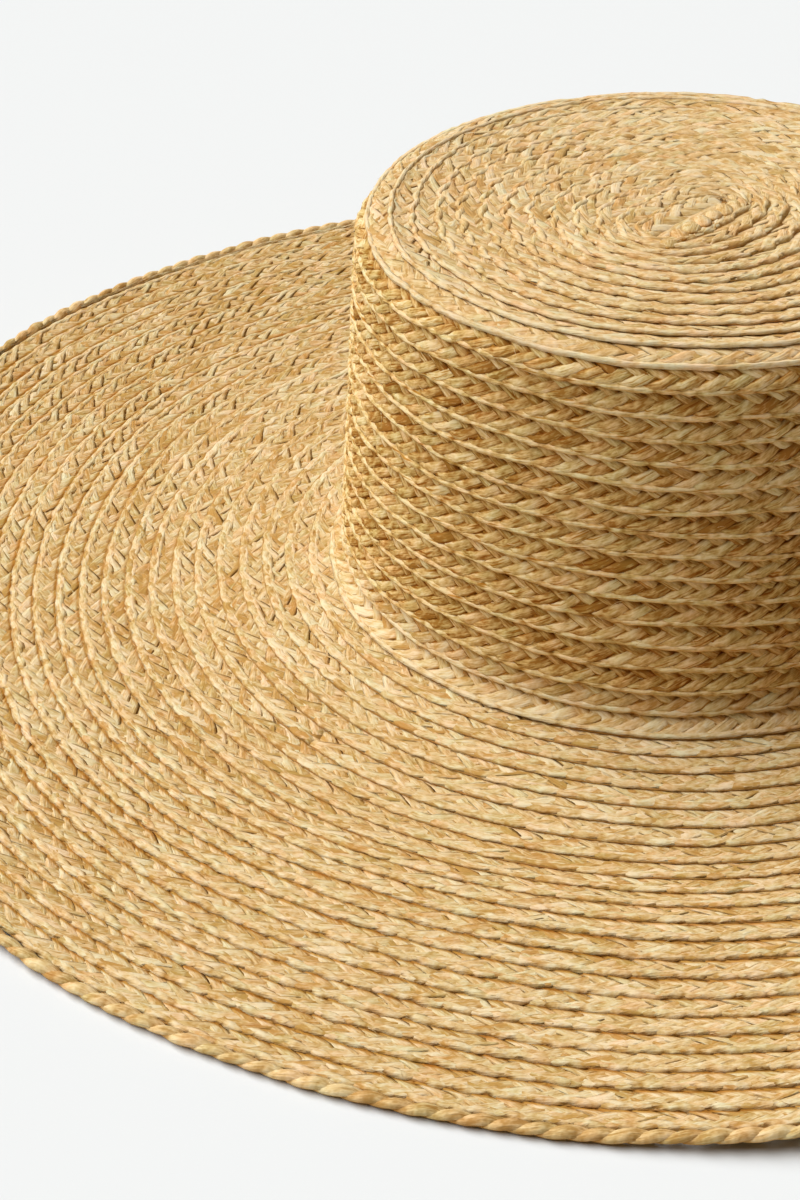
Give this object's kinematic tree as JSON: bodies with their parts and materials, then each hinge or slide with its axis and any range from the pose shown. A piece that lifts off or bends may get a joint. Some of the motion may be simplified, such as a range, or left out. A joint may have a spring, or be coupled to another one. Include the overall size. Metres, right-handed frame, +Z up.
{
  "type": "raffia hat",
  "caption": "Wide-brimmed sun hat sewn from plaited raffia braid, with a flat round-rimmed crown and a softly waved brim.",
  "frame": {"origin": "on the surface that the hat rests on, under the middle of the crown", "axes": "+Z up, from the brim to the crown's tip; -Y towards the front of the hat"},
  "size_m": [0.496, 0.496, 0.1198],
  "materials": {
    "crown_braid": "plaited natural raffia, pale gold, soft sheen",
    "brim_braid": "plaited natural raffia, pale gold, soft sheen",
    "edge_braid": "plaited natural raffia edge row, golden, soft sheen"
  },
  "bodies": {
    "root": {"crown_tip": "crown_braid", "crown_side": "crown_braid", "brim": "brim_braid", "brim_edge": "edge_braid"}
  },
  "joints": []
}
